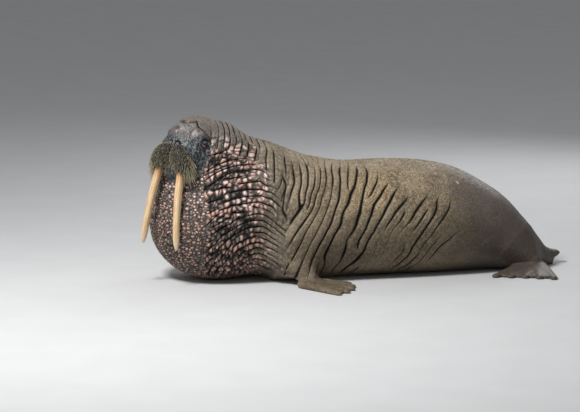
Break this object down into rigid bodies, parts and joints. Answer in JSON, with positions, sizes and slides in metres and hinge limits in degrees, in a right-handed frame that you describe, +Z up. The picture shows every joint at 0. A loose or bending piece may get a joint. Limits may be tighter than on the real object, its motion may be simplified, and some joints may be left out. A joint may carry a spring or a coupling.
{
  "type": "walrus",
  "caption": "Life-size still adult bull walrus resting on its belly with head raised and turned to its left, long tusks and broad flippers laid flat.",
  "frame": {"origin": "middle of the footprint's bounding box, on the floor", "axes": "+Z up, the animal faces -Y with its tail to +Y, and its left side is +X; the head is turned towards +X"},
  "size_m": [1.6586, 2.8789, 1.0758],
  "materials": {
    "body_skin": "olive-brown hide with deep folds and very short flat hair",
    "neck_skin": "knobbly brown-pink hide with dark grooves between the bosses",
    "face_skin": "dark slate hide, bare, with a dense bristle moustache",
    "ivory": "smooth tan ivory with fine lengthwise streaks",
    "eye": "wet glossy dark brown",
    "nail": "dull dark horn"
  },
  "bodies": {
    "root": {"chest": "neck_skin", "eye_left": "eye", "eye_right": "eye", "fore_nail_left_1": "nail", "fore_nail_left_2": "nail", "fore_nail_left_3": "nail", "fore_nail_left_4": "nail", "fore_nail_left_5": "nail", "fore_nail_right_1": "nail", "fore_nail_right_2": "nail", "fore_nail_right_3": "nail", "fore_nail_right_4": "nail", "fore_nail_right_5": "nail", "foreflipper_left": "body_skin", "foreflipper_right": "body_skin", "foreleg_left": "body_skin", "foreleg_right": "body_skin", "head": "face_skin", "hind_nail_left_1": "nail", "hind_nail_left_2": "nail", "hind_nail_left_3": "nail", "hind_nail_left_4": "nail", "hind_nail_left_5": "nail", "hind_nail_right_1": "nail", "hind_nail_right_2": "nail", "hind_nail_right_3": "nail", "hind_nail_right_4": "nail", "hind_nail_right_5": "nail", "hindflipper_left": "body_skin", "hindflipper_right": "body_skin", "hindleg_left": "body_skin", "hindleg_right": "body_skin", "hindquarters": "body_skin", "lower_jaw": "face_skin", "neck": "neck_skin", "tail": "body_skin", "trunk": "body_skin", "tusk_left": "ivory", "tusk_right": "ivory"}
  },
  "joints": []
}
